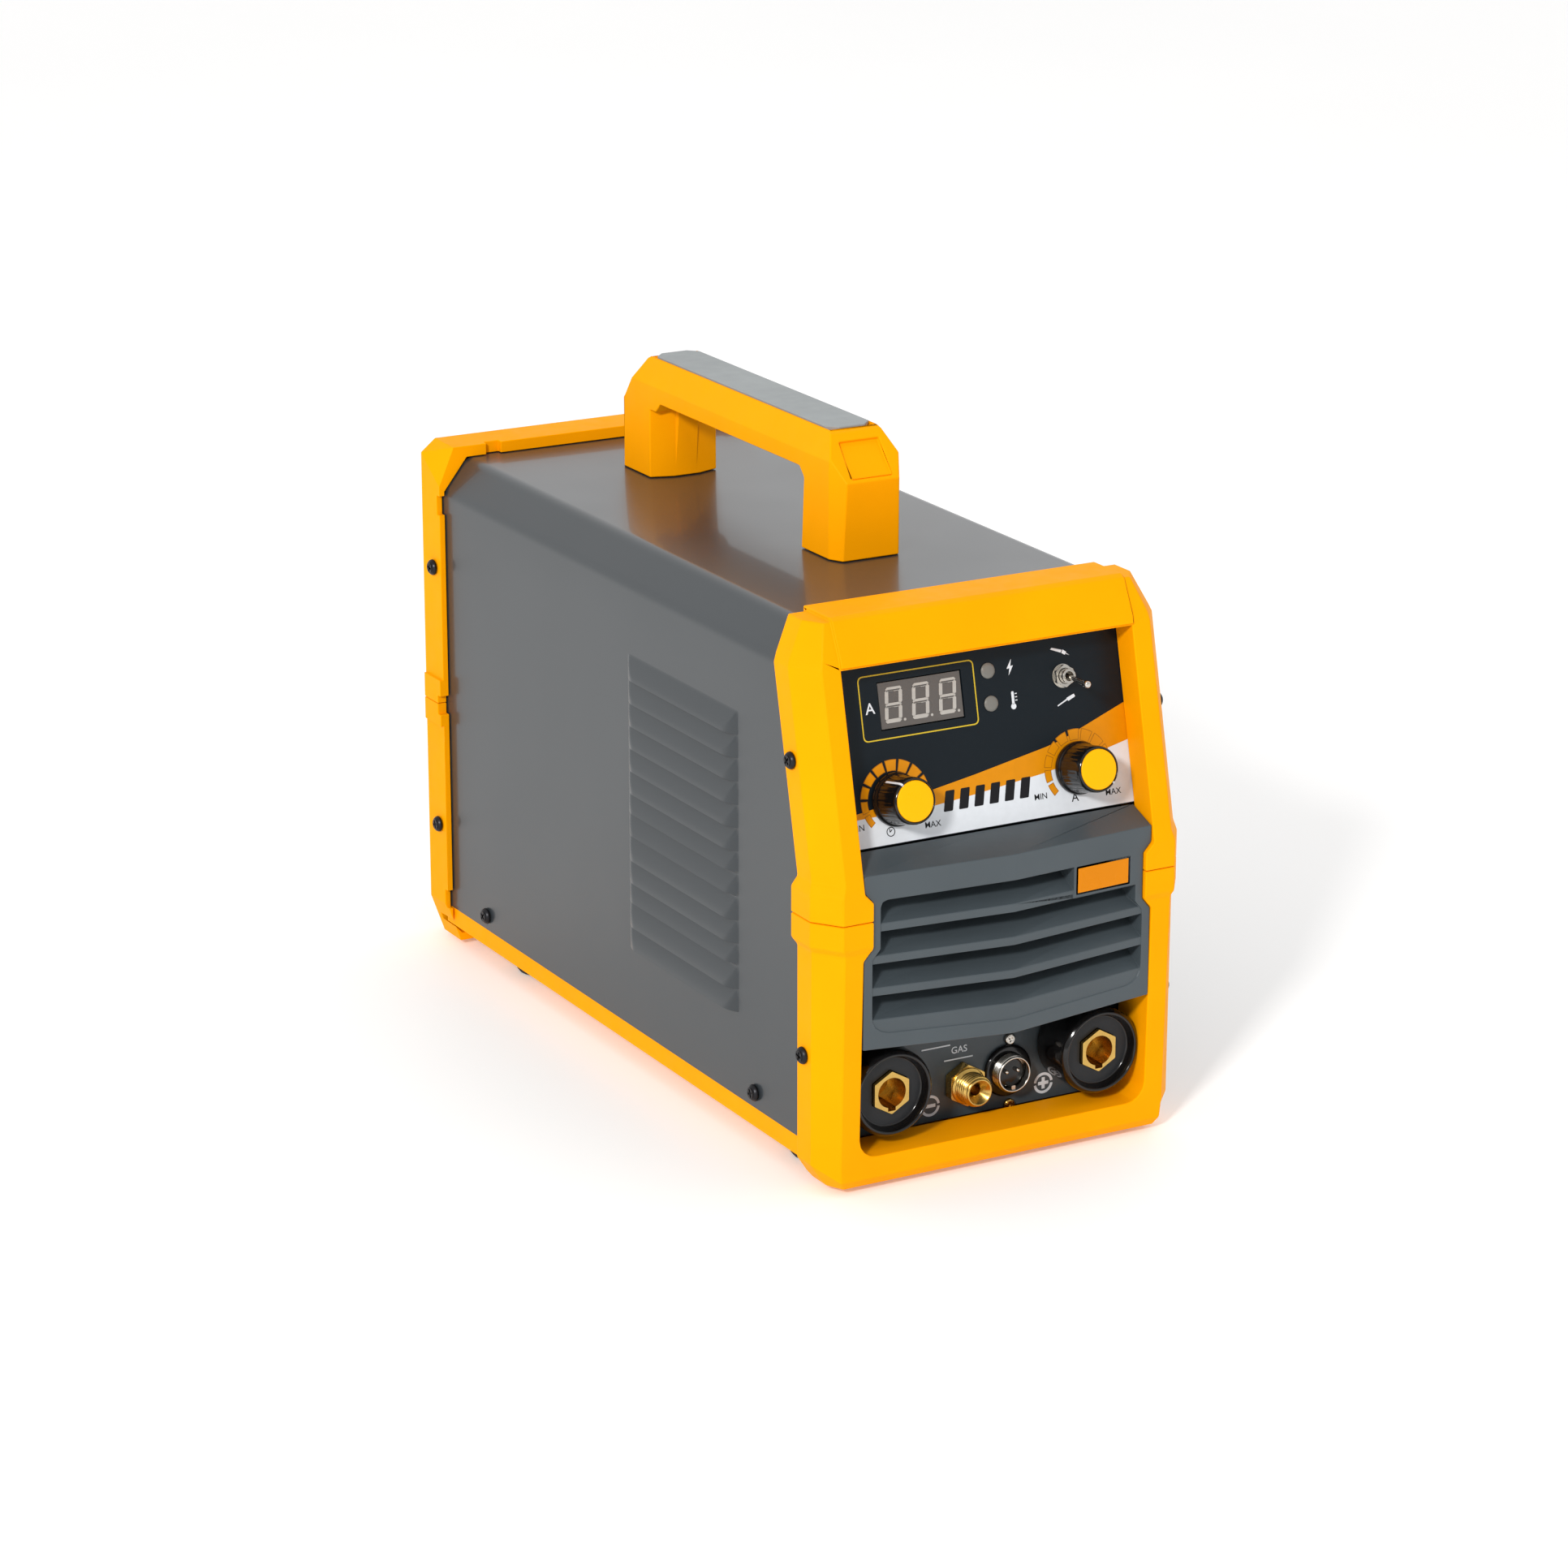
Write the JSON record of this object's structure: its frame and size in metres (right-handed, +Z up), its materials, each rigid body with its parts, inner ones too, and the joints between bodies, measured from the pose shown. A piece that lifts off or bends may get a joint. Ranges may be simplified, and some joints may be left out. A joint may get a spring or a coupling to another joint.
{
  "type": "tig welding machine",
  "caption": "Portable inverter TIG welding machine with a folded grey cover, amber end frames, tilted control panel, grille, weld sockets and a top carrying handle.",
  "frame": {"origin": "centre of the plan of the whole machine, on the plane its feet stand on", "axes": "+Z up, -Y towards the front panel, +X to the right seen from the front"},
  "size_m": [0.1698, 0.3788, 0.2742],
  "materials": {
    "amber_plastic": "semi-gloss moulded amber ABS with a fine grain",
    "painted_steel": "gloss grey-brown powder paint on folded sheet steel",
    "charcoal_plastic": "satin charcoal grey moulded plastic",
    "black_plastic": "glossy black moulded plastic",
    "knob_yellow": "gloss yellow insert",
    "badge": "gloss orange plate",
    "panel_film": "satin printed polyester overlay in navy, orange and white",
    "display_lens": "smoked glossy window with unlit seven-segment digits",
    "lamp_lens": "frosted lens of an unlit lamp",
    "brass": "turned brass",
    "nickel": "nickel plate",
    "alloy": "extruded alloy",
    "copper": "varnished copper winding",
    "circuit_board": "green solder mask",
    "grip_pad": "soft grey pad",
    "foot_rubber": "moulded rubber",
    "hose_rubber": "gas hose",
    "black_screw": "black oxide screw head"
  },
  "bodies": {
    "root": {"base_tray": "amber_plastic", "cover": "painted_steel", "front_frame_upper": "amber_plastic", "front_frame_lower": "amber_plastic", "rear_frame_upper": "amber_plastic", "rear_frame_lower": "amber_plastic", "rear_panel": "charcoal_plastic", "control_panel": "panel_film", "control_board": "circuit_board", "connector_panel": "charcoal_plastic", "grille": "charcoal_plastic", "grille_badge": "badge", "handle": "amber_plastic", "handle_pad": "grip_pad", "foot_front_left": "foot_rubber", "foot_front_right": "foot_rubber", "foot_rear_left": "foot_rubber", "foot_rear_right": "foot_rubber", "mode_switch_body": "nickel", "mode_switch_nut": "nickel", "display_module": "display_lens", "power_lamp": "lamp_lens", "overheat_lamp": "lamp_lens", "negative_socket_housing": "black_plastic", "negative_socket_insert": "brass", "positive_socket_housing": "black_plastic", "positive_socket_insert": "brass", "gas_outlet": "brass", "torch_socket_shell": "nickel", "torch_socket_core": "black_plastic", "fan_frame": "black_plastic", "fan_guard": "black_plastic", "power_switch_body": "black_plastic", "cable_gland": "black_plastic", "gas_inlet": "brass", "gas_valve": "nickel", "gas_hose": "hose_rubber", "power_board": "circuit_board", "heat_sink": "alloy", "main_transformer": "copper", "output_choke": "copper", "front_frame_screw_low_left": "black_screw", "rear_frame_screw_low_left": "black_screw", "front_frame_screw_low_right": "black_screw", "rear_frame_screw_low_right": "black_screw", "front_frame_screw_high_left": "black_screw", "rear_frame_screw_high_left": "black_screw", "front_frame_screw_high_right": "black_screw", "rear_frame_screw_high_right": "black_screw", "cover_screw_front_left": "black_screw", "cover_screw_front_right": "black_screw", "cover_screw_rear_left": "black_screw", "cover_screw_rear_right": "black_screw"},
    "gas_knob": {"gas_knob": "black_plastic", "gas_knob_cap": "knob_yellow"},
    "current_knob": {"current_knob": "black_plastic", "current_knob_cap": "knob_yellow"},
    "mode_lever": {"mode_switch_lever": "nickel"},
    "power_rocker": {"power_switch_rocker": "black_plastic"},
    "fan_rotor": {"fan_rotor": "black_plastic"}
  },
  "joints": [
    {"name": "gas_knob_turn", "type": "hinge", "parent": "root", "child": "gas_knob", "pos_m": [-0.0415, -0.16599, 0.15365], "axis": [0, 0.9744, -0.225], "range_deg": [-114, 186]},
    {"name": "current_knob_turn", "type": "hinge", "parent": "root", "child": "current_knob", "pos_m": [0.0415, -0.16599, 0.15365], "axis": [0, 0.9744, -0.225], "range_deg": [-285, 15]},
    {"name": "mode_lever_tilt", "type": "hinge", "parent": "root", "child": "mode_lever", "pos_m": [0.039, -0.1618, 0.19046], "axis": [-1, 0, 0], "range_deg": [0, 24]},
    {"name": "power_rocker_tilt", "type": "hinge", "parent": "root", "child": "power_rocker", "pos_m": [0.036, 0.1653, 0.178], "axis": [1, 0, 0], "range_deg": [0, 18]},
    {"name": "fan_spin", "type": "hinge", "parent": "root", "child": "fan_rotor", "pos_m": [0, 0.154, 0.092], "axis": [0, 1, 0], "continuous": true}
  ]
}
